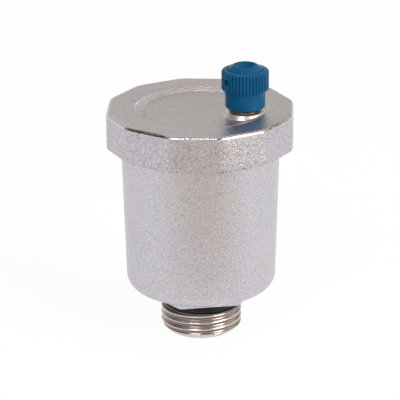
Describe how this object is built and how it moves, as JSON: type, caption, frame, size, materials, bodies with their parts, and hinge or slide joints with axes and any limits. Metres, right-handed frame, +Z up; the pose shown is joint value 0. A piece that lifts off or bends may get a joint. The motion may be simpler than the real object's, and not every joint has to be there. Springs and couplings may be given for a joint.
{
  "type": "air release valve",
  "caption": "Automatic float-type air vent: round nickel-plated body with a threaded spigot, a polygonal screwed cover and an offset knurled blue vent cap that screws open.",
  "frame": {"origin": "centre of the inlet spigot's end face", "axes": "+Z up along the body's axis, +X from the axis towards the vent cap"},
  "size_m": [0.049, 0.049, 0.0728],
  "materials": {
    "nickel": "satin nickel plate on shot-blasted forged brass",
    "brass": "bare turned brass",
    "steel": "bright stainless steel",
    "rubber": "matt black EPDM",
    "acetal": "natural moulded plastic",
    "blue_plastic": "blue moulded plastic, slight sheen"
  },
  "bodies": {
    "valve_body": {"body": "nickel", "cover": "nickel", "cover_gasket": "rubber", "thread_o_ring": "rubber", "vent_nozzle": "brass", "nozzle_seal": "rubber", "nozzle_nut": "brass", "nut_washer": "steel", "lever_bracket": "steel", "lever_pin": "steel", "pin_clip": "steel", "lever_spring": "steel"},
    "lever": {"lever": "acetal", "valve_pad": "rubber"},
    "float": {"float_shell": "acetal", "float_lid": "acetal", "float_hook": "steel"},
    "cap_washer": {"cap_seal": "rubber"},
    "cap": {"vent_cap": "blue_plastic"}
  },
  "joints": [
    {"name": "float_travel", "type": "slide", "parent": "valve_body", "child": "float", "axis": [0, 0, 1], "range_m": [0, 0.0054]},
    {"name": "lever_swing", "type": "hinge", "parent": "valve_body", "child": "lever", "pos_m": [0.0147, 0, 0.05095], "axis": [0, 1, 0], "range_deg": [0, 21], "stiffness_Nm_per_rad": 0.0002, "springref_deg": -34.38, "deforming": ["lever_spring"]},
    {"name": "cap_lift", "type": "slide", "parent": "valve_body", "child": "cap_washer", "axis": [0, 0, 1], "range_m": [0, 0.002]},
    {"name": "cap_turn", "type": "hinge", "parent": "cap_washer", "child": "cap", "pos_m": [0.01195, 0, 0.0665], "axis": [0, 0, 1], "range_deg": [0, 720]}
  ],
  "couplings": [
    {"joint": "lever_swing", "follows": "float_travel", "rad_per_m": 67.25},
    {"joint": "cap_turn", "follows": "cap_lift", "rad_per_m": 6283.1}
  ]
}
